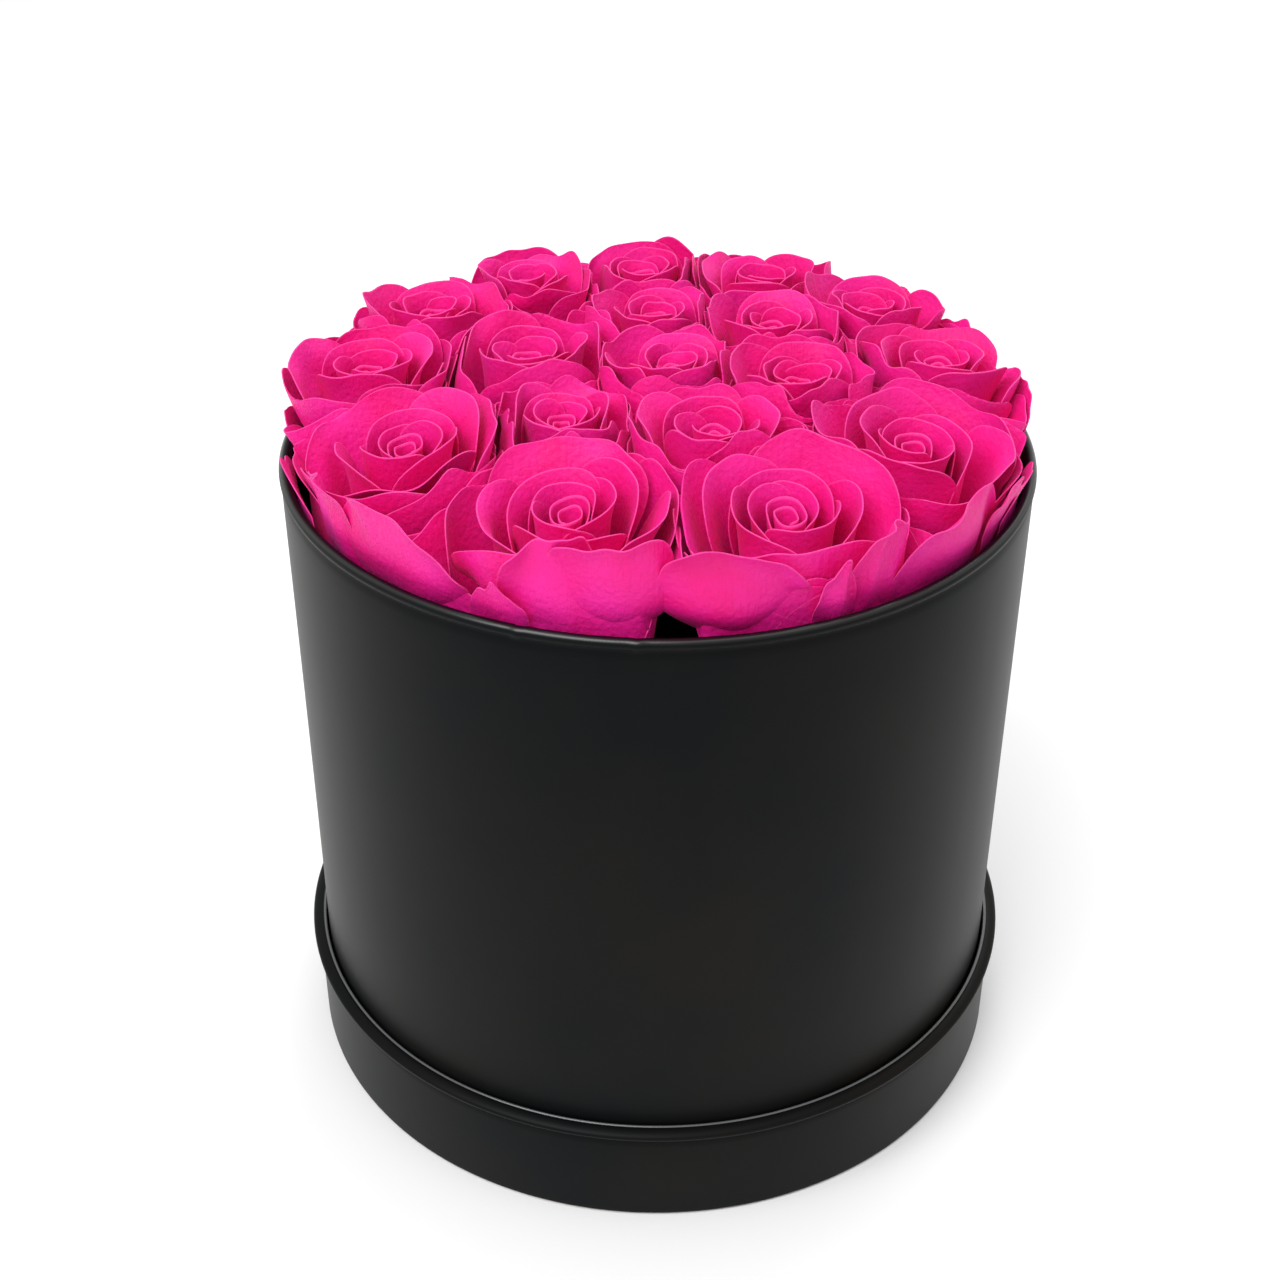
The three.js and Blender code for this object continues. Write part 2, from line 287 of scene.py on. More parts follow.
def covering_paper():
    """Black satin paper: a faint mottle, a fine grain, and soft ripples where it is glued down.
    The mesh's gloss value says where the paper is glossier (1) and duller (0). It also paints the
    colour: painted shade where it is low, painted reflection where it is higher, and a painted
    highlight where it nears 1."""
    surface, nodes, links, shader = new_material("covering_paper", 0.4)
    mottle = object_noise(nodes, links, 16, detail=3)
    gloss = mesh_value(nodes, "gloss")
    # Painted shade and painted reflection: where the gloss value is low (in the groove, on the
    # rolled rim's top and inside, and up the wall) the paper is painted darker, and towards the
    # wall's foot and on the rim's shoulder it is painted lighter. Both colours keep a real mottle.
    painted_shade_paper = colour_ramp(nodes, links, mottle, (0.0002, 0.0009, 0.0017), (0.0041, 0.0035, 0.0027))
    painted_reflection_paper = colour_ramp(nodes, links, mottle, (0.0034, 0.0042, 0.005), (0.0074, 0.0068, 0.006))
    shade_to_reflection = value_range(nodes, links, gloss, 0.0, 1.0, start=0.04, end=0.09)
    paper = mix_colour(nodes, links, shade_to_reflection, painted_shade_paper, painted_reflection_paper)
    # Painted highlight: where the gloss value nears 1, along the lid rim's ridge, the paper is
    # painted light grey.
    painted_highlight = value_range(nodes, links, gloss, 0.0, 1.0, start=0.6, end=1.0)
    colour = mix_colour(nodes, links, painted_highlight, paper, (0.085, 0.087, 0.09))
    links.new(colour, shader.inputs["Base Color"])
    links.new(value_range(nodes, links, gloss, 0.4, 0.22), shader.inputs["Roughness"])
    coat = value_range(nodes, links, gloss, 0.0, 1.0, start=0.09, end=0.55)
    links.new(coat, shader.inputs["Coat Weight"])
    shader.inputs["Coat Roughness"].default_value = 0.22
    shader.inputs["Specular IOR Level"].default_value = 0.083
    grain = object_noise(nodes, links, 2600, detail=2)
    add_bump(nodes, links, shader, grain, 0.00003, 0.3)
    ripple = object_noise(nodes, links, 30, detail=2, stretch=(1, 1, 0.3))
    add_bump(nodes, links, shader, ripple, 0.0006, 0.25)
    return surface


def lining_paper():
    surface, nodes, links, shader = new_material("lining_paper", 0.85)
    fibre = object_noise(nodes, links, 900, detail=6)
    links.new(colour_ramp(nodes, links, fibre, (0.006, 0.006, 0.0065), (0.014, 0.014, 0.015)),
              shader.inputs["Base Color"])
    add_bump(nodes, links, shader, fibre, 0.00005, 0.6)
    return surface


def grey_board():
    surface, nodes, links, shader = new_material("grey_board", 0.9)
    fibre = object_noise(nodes, links, 1100, detail=8, stretch=(1, 1, 0.4))
    links.new(colour_ramp(nodes, links, fibre, (0.2, 0.18, 0.14), (0.34, 0.31, 0.26)),
              shader.inputs["Base Color"])
    add_bump(nodes, links, shader, fibre, 0.00008, 0.7)
    return surface


def dry_foam():
    surface, nodes, links, shader = new_material("dry_foam", 0.95)
    cells = nodes.new("ShaderNodeTexVoronoi")
    cells.inputs["Scale"].default_value = 900
    place = nodes.new("ShaderNodeTexCoord")
    links.new(place.outputs["Object"], cells.inputs["Vector"])
    links.new(colour_ramp(nodes, links, cells.outputs["Distance"], (0.075, 0.16, 0.09),
                          (0.02, 0.05, 0.03), 0.1, 0.8), shader.inputs["Base Color"])
    add_bump(nodes, links, shader, cells.outputs["Distance"], 0.0004, 0.8)
    return surface


def rose_greens():
    surface, nodes, links, shader = new_material("rose_greens", 0.6)
    streak = object_noise(nodes, links, 220, detail=5, stretch=(1, 1, 0.15))
    links.new(colour_ramp(nodes, links, streak, (0.045, 0.1, 0.018), (0.12, 0.2, 0.04)),
              shader.inputs["Base Color"])
    add_bump(nodes, links, shader, streak, 0.0002, 0.5)
    return surface


def rose_petals():
    """Hot pink, with a thin paler edge, which is a painted highlight, and fine veins that fan from
    the base. The mesh says where on its petal a point is: edge is 1 at the petal's edge, across
    and along run over it."""
    surface, nodes, links, shader = new_material("rose_petals", 0.5)
    tone = object_noise(nodes, links, 45, detail=3)
    inner = colour_ramp(nodes, links, tone, (0.81, 0.004, 0.205), (0.86, 0.014, 0.31))
    spread = nodes.new("ShaderNodeCombineXYZ")
    links.new(mesh_value(nodes, "across"), spread.inputs["X"])
    links.new(mesh_value(nodes, "along"), spread.inputs["Y"])
    fan = nodes.new("ShaderNodeMapping")
    fan.inputs["Scale"].default_value = (22, 3.5, 1)
    veins = nodes.new("ShaderNodeTexNoise")
    veins.inputs["Scale"].default_value = 1
    veins.inputs["Detail"].default_value = 5
    links.new(spread.outputs["Vector"], fan.inputs["Vector"])
    links.new(fan.outputs["Vector"], veins.inputs["Vector"])
    # Painted highlight: the petal is painted paler where the edge value nears 1.
    painted_edge_highlight = mix_colour(nodes, links, mesh_value(nodes, "edge"), inner, (0.87, 0.045, 0.32))
    links.new(painted_edge_highlight, shader.inputs["Base Color"])
    add_bump(nodes, links, shader, veins.outputs["Fac"], 0.0006, 0.4)
    grain = object_noise(nodes, links, 700, detail=5)
    add_bump(nodes, links, shader, grain, 0.00045, 0.8)
    shader.inputs["Specular IOR Level"].default_value = 0.25
    shader.inputs["Sheen Weight"].default_value = 0.09
    shader.inputs["Sheen Roughness"].default_value = 0.35
    shader.inputs["Sheen Tint"].default_value = (1.0, 0.35, 0.75, 1)
    return surface


MATERIALS = {
    "covering_paper": covering_paper(),
    "lining_paper": lining_paper(),
    "grey_board": grey_board(),
    "dry_foam": dry_foam(),
    "rose_greens": rose_greens(),
    "rose_petals": rose_petals(),
}


# ---------------------------------------------------------------- the box

def paper_shift(seed, seam_angle, creases, crease_foot):
    """How far out hand-laid paper lies: slow waves round the wall, the lap of its seam, which
    rises over its last degrees and drops in one step, and creases pinched in its rim."""
    rng = np.random.default_rng(seed)
    waves = [(k, rng.uniform(0, TURN), rng.uniform(0, 40)) for k in (2, 3, 5, 9, 14)]

    def shift(angle, height):
        total = sum(np.sin(k * angle + phase + lean * height) / k for k, phase, lean in waves)
        past_seam = (angle - seam_angle) % TURN
        lap = SEAM_STEP * smooth_step(past_seam, TURN - SEAM_LAP, TURN - 0.1 * SEAM_LAP)
        pinch = sum(np.exp(-((angle - crease) / CREASE_WIDTH) ** 2) for crease in creases)
        return WAVE_HEIGHT * total + lap + CREASE_DEPTH * pinch * (height > crease_foot)
    return shift


# A wall of paper: its piece and body, the CAD nodes whose boxes set its size, its shape, its shine
# (how strong it is, and where round the rolled rim it sits; the shine also paints the paper
# lighter there, a painted reflection), its seam and its creases
Wall = namedtuple("Wall", "name body covering cover_disc lining foot_bulge skew ridge shine "
                          "shine_angle shine_width seam_angle creases seed")


def wall_shell(wall):
    """A covering sleeve: rounded foot, wall, rolled rim and the paper turned down inside it. skew
    moves the rim's highest line towards the inside, and ridge is the radius of the sharp fold that
    the paper makes there."""
    low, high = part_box(wall.covering)
    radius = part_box(wall.cover_disc)[1].x + COVER_INSET
    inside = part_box(wall.lining)[1].x - PAPER
    turn_in_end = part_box(wall.lining)[1].z + LINING_GAP
    top = high.z
    foot = low.z
    roll_foot = top - ROLL_HEIGHT
    width = high.x - inside

    def wall_point(height, inset, gloss):
        """A point of the wall, which widens towards its foot and has more gloss there, which also
        paints it lighter: a painted reflection.
        """
        share = (height - foot) / (roll_foot - foot)
        out = radius - inset + wall.foot_bulge * (1 - share) ** 2
        return out, height, gloss * (1.35 - 0.7 * share)

    def outline(inset):
        """Points of radius, height and gloss value, from the foot up, over the rim and down
        inside.
        The gloss value also paints the colour: painted shade in the groove and on the rim's top
        and inside, and a painted highlight on the ridge.
        """
        points = []
        for angle in np.linspace(-math.pi / 2, 0, 6):
            rounding = (FOOT_ROUND - inset) * math.cos(angle) - FOOT_ROUND
            height = foot + FOOT_ROUND + (FOOT_ROUND - inset) * math.sin(angle)
            points.append(wall_point(height, -rounding, WALL_GLOSS))
        for height in np.linspace(foot + FOOT_ROUND + 1 * MM, roll_foot - 3 * MM, 40):
            points.append(wall_point(height, inset, WALL_GLOSS))
        # Lower gloss in the groove under the rolled rim, which also paints it darker: painted
        # shade.
        points.append(wall_point(roll_foot - 1 * MM, inset + GROOVE / 2, GROOVE_GLOSS))
        points.append(wall_point(roll_foot - 0.5 * MM, inset + GROOVE, GROOVE_GLOSS))
        rise = ROLL_HEIGHT / 2 - inset
        for angle in np.linspace(-0.42 * math.pi, math.pi, 29):
            share = ((1 + math.cos(angle)) / 2) ** (wall.skew if angle > 0 else 1)
            out = inside + inset + (width - 2 * inset) * share
            least = inside + inset if angle > 0 else radius - inset - GROOVE
            height = roll_foot + ROLL_HEIGHT / 2 + rise * math.sin(angle)
            # Past the shine the gloss falls away, which paints the rim's top and inside darker:
            # painted shade.
            shine = wall.shine * math.exp(-((angle - wall.shine_angle) / wall.shine_width) ** 2)
            gloss = max(shine, WALL_GLOSS * (angle < wall.shine_angle))
            if angle < 0 or out > inside + 2 * wall.ridge:
                points.append((max(out, least), height, gloss))
        # The ridge has full gloss, which also paints it light grey: a painted highlight.
        if wall.ridge:
            thin = max(wall.ridge - inset, 0.05 * MM)
            for angle in np.linspace(0.15 * math.pi, math.pi, 8):
                points.append((inside + max(wall.ridge, inset) + thin * math.cos(angle),
                               top - 0.3 * MM - inset / 2 + thin * math.sin(angle), 1.0))
        # The paper turned down inside has no gloss, which paints it darker: painted shade.
        points.append((inside + inset, (roll_foot + turn_in_end) / 2, 0.0))
        points.append((inside + inset, turn_in_end, 0.0))
        return points

    profile = outline(0) + outline(PAPER)[::-1]
    shift = paper_shift(wall.seed, wall.seam_angle, wall.creases, roll_foot)
    vertices, faces = turned_mesh(profile, ROUND_SEGMENTS, shift)
    shell = new_piece(wall.name, vertices, faces, MATERIALS["covering_paper"])
    # The gloss value goes on the mesh for the material, which reads it both for its shine and for
    # its painted light and shade.
    gloss = shell.data.attributes.new("gloss", "FLOAT", "POINT")
    values = np.repeat(np.array(profile)[:, 2], ROUND_SEGMENTS)
    gloss.data.foreach_set("value", values.astype(np.float32))
    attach(shell, wall.body)
    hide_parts(wall.covering)


def no_shift(angle, height):
    return 0 * angle * height


def inside_piece(name, node, body, profile, slot):
    """A smooth turned piece in place of a faceted part of the box's inside."""
    vertices, faces = turned_mesh(profile, INSIDE_SEGMENTS, no_shift)
    piece = new_piece(name, vertices, faces, MATERIALS[slot], merge=True)
    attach(piece, body)
    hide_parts(node)


def lining_cup(name, node, body):
    """Lining paper over a floor and up the wall, with a soft bend where they meet."""
    low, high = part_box(node)
    radius = high.x
    turns = np.linspace(-math.pi / 2, 0, 7)

    def arc(bend):
        return [(radius - LINING_BEND + bend * math.cos(turn),
                 low.z + LINING_BEND + bend * math.sin(turn)) for turn in turns]

    profile = ([(0, low.z)] + arc(LINING_BEND) + [(radius, high.z), (radius - LINING, high.z)]
               + arc(LINING_BEND - LINING)[::-1] + [(0, low.z + LINING)])
    inside_piece(name, node, body, profile, "lining_paper")


def foam_disc(name, node):
    """A disc of dry foam with rounded edges."""
    low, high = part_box(node)
    turns = np.linspace(0, math.pi / 2, 4)
    edge = [(high.x - FOAM_EDGE * (1 - math.cos(turn)), FOAM_EDGE * (1 - math.sin(turn)))
            for turn in turns]
    lower = [(out, low.z + rise) for out, rise in edge[::-1]]
    upper = [(out, high.z - rise) for out, rise in edge]
    inside_piece(name, node, "filling", [(0, low.z)] + lower + upper + [(0, high.z)], "dry_foam")


# ---------------------------------------------------------------- roses

class Rose:
    """Where a rose stands, its heights, its half width and how far it tilts outwards."""

    def __init__(self, node):
        low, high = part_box(node)
        self.stem = node.replace("rose_", "stem_")
        stem_low, stem_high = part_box(self.stem)
        self.node = node
        self.place = node.replace("rose_", "")
        self.x = (stem_low.x + stem_high.x) / 2
        self.y = (stem_low.y + stem_high.y) / 2
        self.top = high.z
        self.base = low.z
        self.half_width = max(high.x - low.x, high.y - low.y) / 2
        at_wall = math.hypot(self.x, self.y) > INNER_ROSES
        self.tilt = (FRONT_TILT if self.y < 0 else BACK_TILT) if at_wall else 0.0


def find_roses():
    return [Rose(name) for name in sorted(frame["nodes"]) if name.startswith("rose_")]


def reach(rose, roses, angle, level, free_reach):
    """How far the head reaches in a direction before it meets a neighbour, rounded where two
    neighbours' limits meet. angle and level are arrays. The plane between two roses leans, so that
    the one nearer the front spreads over the other."""
    total = (free_reach * rose.half_width) ** -CORNER_SHARPNESS * np.ones(angle.shape)
    for other in roses:
        if other is rose:
            continue
        apart = math.hypot(other.x - rose.x, other.y - rose.y)
        share = rose.half_width / (rose.half_width + other.half_width)
        facing = np.cos(angle - math.atan2(other.y - rose.y, other.x - rose.x))
        over = level - (rose.top + other.top) / 2 + OVERLAP_DEPTH
        over = np.clip(over, -2 * OVERLAP_DEPTH, 2 * OVERLAP_DEPTH)
        lean = OVERLAP * math.copysign(1, other.y - rose.y)
        limit = (apart * share - HEAD_GAP / 2 + lean * over) / np.maximum(facing, 0.2)
        total = total + np.where(facing > 0.2, limit, 1.0) ** -CORNER_SHARPNESS
    return total ** (-1 / CORNER_SHARPNESS)


# A petal's shape: which way it faces and how far it spreads round the axis, in radians; its radius
# at the top and its foot; its levels; and how it leans, bends, waves, winds, slopes and folds
Petal = namedtuple("Petal", "direction spread radius foot top base lean bend wave spiral slope "
                            "tip tip_at fullness squareness fold curl")


def petal_points(petal, rng, size):
    """One petal as a grid of points round an axis, and where on the petal each point is."""
    line = np.concatenate([[-1], np.linspace(-0.98, 0.98, size - 2), [1]])
    a, b = np.meshgrid(line, line, indexing="ij")
    x = a * np.sqrt(1 - b ** 2 / 2)
    y = b * np.sqrt(1 - a ** 2 / 2)
    rho = np.hypot(x, y)
    around = np.arctan2(y, x)
    power = petal.squareness
    square = (np.abs(np.cos(around)) ** power + np.abs(np.sin(around)) ** power) ** (-1 / power)
    x, y = x * square, y * square
    height = (y + 1) / 2
    angle = petal.direction + petal.spread * x * (0.4 + 0.6 * smooth_step(height, 0.0, 0.5))
    cup = (1 - (1 - height) ** petal.fullness) ** (1 / petal.fullness)
    out = petal.foot + (petal.radius - petal.foot) * cup
    level = petal.base + (petal.top - petal.base) * height
    upper = smooth_step(height, 0.45, 0.8)
    out = out + petal.lean * smooth_step(height, 0.35, 1.0)
    level = level + petal.slope * x * upper
    # the margin bends outwards along an arc, more in some places than in others
    swing = sum(np.sin(k * x * 2.2 + rng.uniform(0, TURN)) / k ** 0.7 for k in (1, 2.3, 4.1))
    bend = np.maximum(petal.bend * (1 + 0.45 * swing * petal.wave), 0.02)
    share = np.clip((rho - (1 - PETAL_MARGIN)) / PETAL_MARGIN, 0, 1)
    out = out + upper * MARGIN_LENGTH / bend * (1 - np.cos(bend * share))
    level = level + upper * (MARGIN_LENGTH / bend * np.sin(bend * share) - MARGIN_LENGTH * share)
    # a point in the edge, the spiral, a crease from the point down, and soft dents
    point = np.exp(-((x - petal.tip_at) / 0.2) ** 2) * smooth_step(height, 0.7, 1.0)
    level = level + petal.tip * point
    out = out + 0.5 * petal.tip * point + petal.spiral * x * smooth_step(height, 0, 0.5)
    crease = np.exp(-np.abs(x - petal.tip_at) / 0.25)
    out = out + petal.fold * crease * smooth_step(height, 0.3, 0.9) - petal.curl * np.abs(x) ** 3
    edge = smooth_step(rho, 0.5, 1.0) * upper
    ripple = sum(np.sin(k * x * 2.6 + rng.uniform(0, TURN)) / k for k in (1.3, 2.9, 5.2))
    level = level + 0.8 * MM * petal.wave * edge * ripple
    dents = sum(np.sin(kx * x + ky * height + rng.uniform(0, TURN))
                for kx, ky in ((3, 4), (5, 2), (2, 7)))
    out = out + 0.25 * MM * petal.wave * dents
    points = np.stack([out * np.cos(angle), out * np.sin(angle), level], -1)
    return points, rho, x, height


def hold_inside(x, y, z, room, spread):
    """Holds points inside the drum's wall, room away from it. spread is how fast they may spread
    outwards over its rim."""
    axis = np.hypot(x, y)
    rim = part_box("drum_covering")[1].z
    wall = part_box("drum_lining")[1].x - PAPER - room
    limit = wall + np.clip(z - rim, 0, OVERHANG_HEIGHT) * spread
    near = limit - SOFT_STOP
    held = np.where(axis > near, near + SOFT_STOP * np.tanh((axis - near) / SOFT_STOP), axis)
    fit = held / np.maximum(axis, 1e-9)
    return np.stack([x * fit, y * fit, z], -1)


def settle(points, rose, roses, share, free_reach=FREE_REACH):
    """Fits a petal's points to its rose's cell and tilts them with the rose. share is 0 at the bud
    and 1 for the outermost petal, which alone may reach the edge of the cell."""
    out = np.hypot(points[..., 0], points[..., 1])
    angle = np.arctan2(points[..., 1], points[..., 0])
    cell = reach(rose, roses, angle, points[..., 2], free_reach)
    stretch = (cell / rose.half_width - 1) * smooth_step(out / rose.half_width, 0.3, 1.0)
    fitted = out * (1 + stretch)
    limit = cell * (0.82 + 0.18 * share)
    free = 0.86 * limit
    room = limit - free
    fitted = np.where(fitted > free, free + room * np.tanh((fitted - free) / room), fitted)
    scale = fitted / np.maximum(out, 1e-9)
    x, y = points[..., 0] * scale, points[..., 1] * scale
    from_axis = math.hypot(rose.x, rose.y)
    tilt = rose.tilt * (x * rose.x + y * rose.y) / max(from_axis, 1 * MM)
    x, y = rose.x + x, rose.y + y
    from_front = np.abs(np.arctan2(x, -y))
    spread = OVERHANG * smooth_step(from_front, math.radians(50), math.radians(75))
    level = points[..., 2] - tilt
    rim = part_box("drum_covering")[1].z
    beside = (np.arctan2(y, x) - GAP_ANGLE) / GAP_WIDTH
    closed = smooth_step(level, rim + GAP_FOOT, rim + GAP_TOP)
    gap = GAP_DEPTH * np.exp(-beside ** 4) * (1 - closed)
    return hold_inside(x, y, level, WALL_ROOM + (1 - share) * 3 * MM + gap, spread)


def rose_petal_list(rose, rng):
    """The petals from the bud outwards: a tight heart, then cups, then wide petals that lean out.
    Each comes with its share of the way from the bud to the outermost."""
    size = rose.half_width
    scale = size / USUAL_HALF_WIDTH
    turn = rng.uniform(0, TURN)
    hand = rng.choice([-1, 1])
    petals = []
    for number, radius in enumerate(PETAL_RADII):
        share = number / (len(PETAL_RADII) - 1)
        outer = smooth_step(radius, 0.6, 0.85)
        inner = 1 - smooth_step(radius, 0.2, 0.6)
        lean = scale * MM * (0.4 + 1.2 * share + 4.0 * outer * share)
        sink = -5.2 * max(0.0, 1 - radius / 0.8) ** 1.1 - 3.0 * smooth_step(radius, 0.8, 1.05)
        petals.append((share, Petal(
            direction=turn + hand * number * GOLDEN_ANGLE + rng.normal(0, 0.15),
            spread=(1.15 + 0.8 * inner - 0.1 * outer) * rng.uniform(0.9, 1.1),
            radius=size * radius * rng.uniform(0.985, 1.015) - 0.6 * lean,
            foot=PETAL_FOOT,
            top=rose.top + scale * MM * (sink + rng.normal(0, 0.3 + 0.6 * outer)),
            base=rose.base + 1 * MM,
            lean=lean,
            bend=(0.3 + 0.5 * share + 1.0 * outer * share) * rng.uniform(0.6, 1.4),
            wave=0.35 + 0.8 * outer,
            spiral=hand * size * (0.05 + 0.03 * inner),
            slope=rng.normal(0, 0.8) * MM,
            tip=rng.uniform(-0.3, 0.4 + 2.4 * outer) * MM,
            tip_at=rng.uniform(-0.55, 0.55),
            fullness=2.2 + 0.4 * outer,
            squareness=2.6 + 1.2 * inner + rng.uniform(0, 1.2),
            fold=rng.uniform(-0.6, 1.0) * outer * MM,
            curl=0.0)))
    return petals


def skirt_petal_list(rose, rng):
    """Low wide petals under the head that fill the corners between it and its neighbours."""
    turn = rng.uniform(0, TURN)
    return [Petal(
        direction=turn + number * TURN / SKIRT_COUNT + rng.normal(0, 0.15),
        spread=rng.uniform(0.8, 0.95),
        radius=rose.half_width * rng.uniform(1.0, 1.1),
        foot=PETAL_FOOT,
        top=rose.top - rng.uniform(6, 9) * MM,
        base=rose.base + 1 * MM,
        lean=rose.half_width * 0.35,
        bend=rng.uniform(0.8, 1.4),
        wave=1.2,
        spiral=rose.half_width * 0.03,
        slope=rng.normal(0, 1.0) * MM,
        tip=rng.uniform(0, 2) * MM,
        tip_at=rng.uniform(-0.5, 0.5),
        fullness=2.2,
        squareness=3.0,
        fold=rng.uniform(-1, 1) * MM,
        curl=0.0) for number in range(SKIRT_COUNT)]


def wall_petal_list(rose, rng):
    """The loose outermost petals between an outer rose and the drum's wall. They stand round the
    drum's own axis and hide the stems by the rim."""
    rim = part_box("drum_covering")[1].z
    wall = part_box("drum_lining")[1].x - PAPER
    outward = math.degrees(math.atan2(rose.y, rose.x))
    if math.hypot(rose.x, rose.y) < INNER_ROSES:
        return []
    generic = [WallPetal(
        outward + aside + rng.normal(0, 1.5), rng.uniform(7, 10), rng.uniform(7, 12), 20, -1.5,
        rng.uniform(0, 2), rng.uniform(-0.5, 0.5), 1.5, 0.9, rng.uniform(-2, 2), 2.6,
        rng.uniform(-1, 2), rng.uniform(0, 1)) for aside in (-9, 8)]
    petals = []
    for row in WALL_PETALS.get(rose.place, generic):
        petals.append(Petal(
            direction=math.radians(row.centre),
            spread=math.radians(row.half),
            radius=wall - row.inside * MM,
            foot=wall - 26 * MM,
            top=rim + row.height * MM,
            base=rim - row.depth * MM,
            lean=row.lean * MM,
            bend=row.bend,
            wave=1.3,
            spiral=0.0,
            slope=row.slope * MM,
            tip=row.tip * MM,
            tip_at=row.tip_at,
            fullness=3.6,
            squareness=row.square,
            fold=row.fold * MM,
            curl=row.curl * MM))
    return petals


def bud_points(rose, rng):
    """The rolled petal in the middle, as a grid of points: a scroll, a little lower inside."""
    turns = 2.1
    size = rose.half_width
    u = np.linspace(0, 1, 90)
    v = np.concatenate([np.linspace(0, 0.97, 10), [1]])
    u, v = np.meshgrid(u, v, indexing="ij")
    start = rng.uniform(0, TURN)
    hand = rng.choice([-1, 1])
    angle = start + hand * turns * TURN * u
    oval = 1 + 0.1 * np.sin(2 * angle + start)
    out = size * (0.04 + 0.17 * u ** 0.85) * (0.8 + 0.2 * v) * oval
    ends = smooth_step(u, -0.05, 0.08) * (1 - smooth_step(u, 0.85, 1.02))
    top = rose.top + (-6.8 + 2.4 * u) * MM - (1 - ends) * 5 * MM
    top = top + 0.3 * MM * np.sin(3 * angle + start)
    out = out + 0.5 * MM * smooth_step(v, 0.75, 1.0)
    level = rose.base + 8 * MM + (top - rose.base - 8 * MM) * v
    points = np.stack([out * np.cos(angle), out * np.sin(angle), level], -1)
    # Where the bud's paler edge, a painted highlight, lies.
    edge = smooth_step(v, 0.97, 1.0)
    return points, edge, u, v


def build_rose(rose, roses, seed):
    """One rose head: its bud and all its petals in one piece, with the values that its material
    reads."""
    rng = np.random.default_rng(seed)
    parts = []
    attributes = {"edge": [], "across": [], "along": []}

    def add_sheet(points, values):
        parts.append(sheet_to_shell(points, PETAL_THICKNESS))
        for name, value in zip(attributes, values):
            attributes[name].append(np.tile(value.ravel(), 2))

    def add_petal(petal, fit):
        points, rho, across, along = petal_points(petal, rng, PETAL_GRID)
        add_sheet(fit(points), (smooth_step(rho, EDGE_HIGHLIGHT_START, 1.0), across, along))

    points, edge, across, along = bud_points(rose, rng)
    add_sheet(settle(points, rose, roses, 0), (edge, across * 6, along))
    for share, petal in rose_petal_list(rose, rng):
        add_petal(petal, lambda points: settle(points, rose, roses, share))
    for petal in skirt_petal_list(rose, rng):
        add_petal(petal, lambda points: settle(points, rose, roses, 1, SKIRT_REACH))
    for petal in wall_petal_list(rose, rng):
        add_petal(petal, lambda points: hold_inside(
            *np.moveaxis(points, -1, 0), LOOSE_ROOM, LOOSE_OVERHANG))
    piece = new_piece(rose.node + "_petals", *joined(parts), MATERIALS["rose_petals"])
    for name, values in attributes.items():
        layer = piece.data.attributes.new(name, "FLOAT", "POINT")
        layer.data.foreach_set("value", np.concatenate(values).astype(np.float32))
    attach(piece, "filling")
    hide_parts(rose.node)


def sepal_points(direction, centre, length, rng):
    """One sepal: a narrow leaf from the calyx, which cups the head and curls back at its point."""
    u, v = np.meshgrid(np.linspace(-1, 1, 7), np.linspace(0, 1, 15), indexing="ij")
    width = 3.6 * MM * np.sin(math.pi * (0.12 + 0.86 * v) ** 0.8) ** 0.8 * (1 - 0.35 * v)
    curl = rng.uniform(0.2, 0.9)
    out = 2.4 * MM + length * (np.sin(v * 1.5) * 0.75 + curl * 0.35 * v ** 3)
    level = length * (0.62 * v ** 1.4 - curl * 0.45 * v ** 4) - 0.7 * MM * (1 - u ** 2)
    x = out * math.cos(direction) - width * u * math.sin(direction)
    y = out * math.sin(direction) + width * u * math.cos(direction)
    return np.stack([centre.x + x, centre.y + y, centre.z + level], -1)


def build_stem(rose, seed):
    """A round stem with a hip that swells under the head, and five sepals."""
    rng = np.random.default_rng(seed)
    low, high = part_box(rose.stem)
    hip = high.z - HIP_HEIGHT
    profile = [(0, low.z), (STEM_RADIUS, low.z + 4 * MM), (STEM_RADIUS, hip - 2 * MM),
               (STEM_RADIUS * 1.15, hip), (4.4 * MM, hip + 2.5 * MM), (4.6 * MM, hip + 4 * MM),
               (3.6 * MM, hip + 6 * MM), (3.4 * MM, high.z), (0, high.z)]
    vertices, faces = turned_mesh(profile, STEM_SEGMENTS, no_shift)
    parts = [(np.array(vertices) + (rose.x, rose.y, 0), np.array(faces))]
    centre = Vector((rose.x, rose.y, hip + 4.5 * MM))
    turn = rng.uniform(0, TURN)
    for number in range(SEPAL_COUNT):
        direction = turn + number * TURN / SEPAL_COUNT
        points = sepal_points(direction, centre, rng.uniform(9, 13) * MM, rng)
        parts.append(sheet_to_shell(points, SEPAL_THICKNESS))
    piece = new_piece(rose.stem + "_greens", *joined(parts), MATERIALS["rose_greens"], merge=True)
    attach(piece, "filling")
    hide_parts(rose.stem)


# ---------------------------------------------------------------- build

def paint_cad_nodes():
    """The boards and papers that stay CAD solids get the material of their slot."""
    slot_of = {row["node"]: row["material_slot"] for row in frame["record"]["subparts"]}
    for name, node in frame["nodes"].items():
        node.data.materials.clear()
        node.data.materials.append(MATERIALS[slot_of[name]])


def add_camera():
    data = bpy.data.cameras.new("camera")
    data.lens = CAMERA_LENS
    data.sensor_width = 36
    data.clip_start = 0.01
    camera = bpy.data.objects.new("camera", data)
    bpy.context.scene.collection.objects.link(camera)
    turn = (Matrix.Rotation(-CAMERA_YAW, 4, "Z")
            @ Matrix.Rotation(math.pi / 2 - CAMERA_PITCH, 4, "X")
            @ Matrix.Rotation(CAMERA_ROLL, 4, "Z"))
    camera.matrix_world = Matrix.Translation((0, -CAMERA_BACK, CAMERA_HEIGHT)) @ turn
    bpy.context.scene.camera = camera


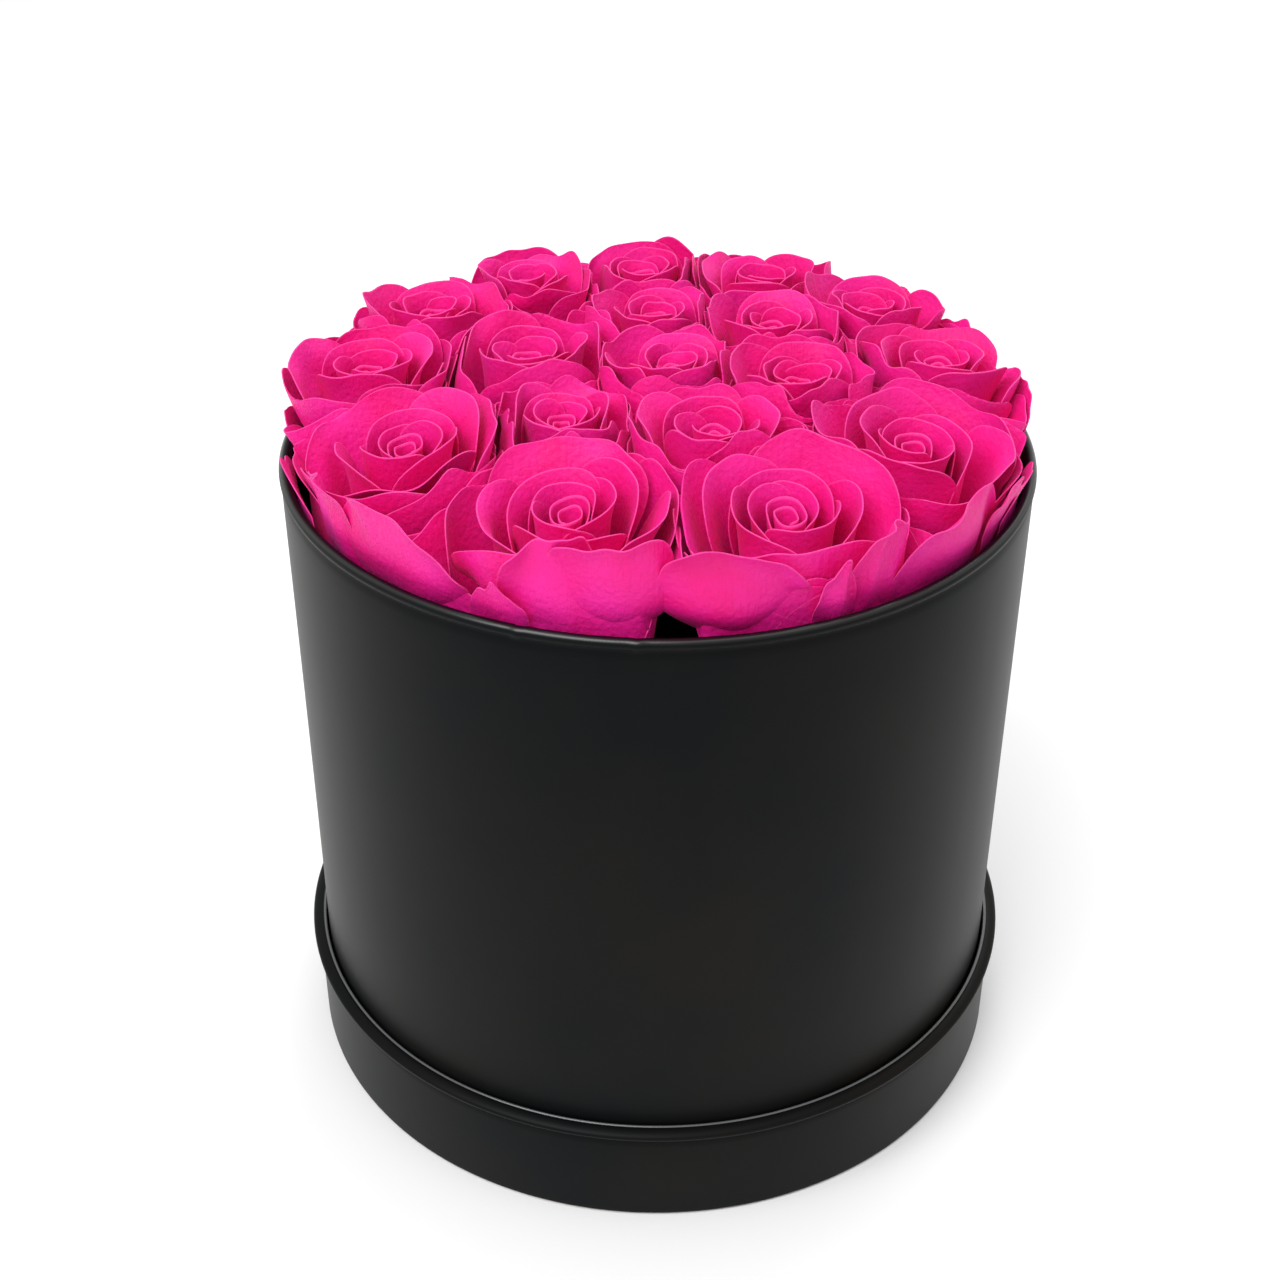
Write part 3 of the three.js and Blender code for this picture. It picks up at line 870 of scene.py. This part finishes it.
def add_area(name, place, target, size, power):
    data = bpy.data.lights.new(name, "AREA")
    data.size = size
    data.energy = power
    light = bpy.data.objects.new(name, data)
    light.location = place
    light.rotation_euler = (Vector(target) - Vector(place)).to_track_quat("-Z", "Y").to_euler()
    bpy.context.scene.collection.objects.link(light)


def add_floor():
    surface, nodes, links, shader = new_material("floor", 0.6)
    shader.inputs["Base Color"].default_value = (0.93, 0.93, 0.93, 1)
    half = 6.0
    corners = [(-half, -half, 0), (half, -half, 0), (half, half, 0), (-half, half, 0)]
    floor = new_piece("floor", corners, [(0, 1, 2, 3)], surface, smooth=False)


def add_light():
    world = bpy.data.worlds.new("studio")
    bpy.context.scene.world = world
    world.use_nodes = True
    background = world.node_tree.nodes["Background"]
    background.inputs["Color"].default_value = (1, 1, 1, 1)
    background.inputs["Strength"].default_value = 0.75
    add_area("key", (-0.5, -0.7, 1.3), (0, 0, 0.15), 0.9, 13)
    add_area("back", (0.3, 0.9, 1.1), (0, 0, 0.15), 0.9, 5)
    add_area("top", (0.1, 0.1, 1.7), (0.1, 0.1, 0), 1.6, 6)
    bpy.context.scene.view_settings.view_transform = "Standard"


paint_cad_nodes()
wall_shell(Wall(
    name="drum_paper", body="drum", covering="drum_covering", cover_disc="drum_base_cover",
    lining="drum_lining", foot_bulge=0.5 * MM, skew=1.0, ridge=0, shine=0.5, shine_angle=0.95,
    shine_width=0.45, seam_angle=math.radians(97),
    creases=(math.radians(251.5), math.radians(267.6)), seed=3))
wall_shell(Wall(
    name="lid_paper", body="lid", covering="lid_covering", cover_disc="lid_panel_cover",
    lining="lid_lining", foot_bulge=0, skew=2.0, ridge=0.4 * MM, shine=0, shine_angle=2,
    shine_width=0.2, seam_angle=math.radians(83), creases=(), seed=8))
lining_cup("drum_lining_paper", "drum_lining", "drum")
lining_cup("lid_lining_paper", "lid_lining", "lid")
foam_disc("foam_lower_block", "foam_lower_disc")
foam_disc("foam_upper_block", "foam_upper_disc")
ROSES = find_roses()
for number, rose in enumerate(ROSES):
    build_rose(rose, ROSES, seed=100 + number)
    build_stem(rose, seed=200 + number)
add_camera()
add_light()
add_floor()
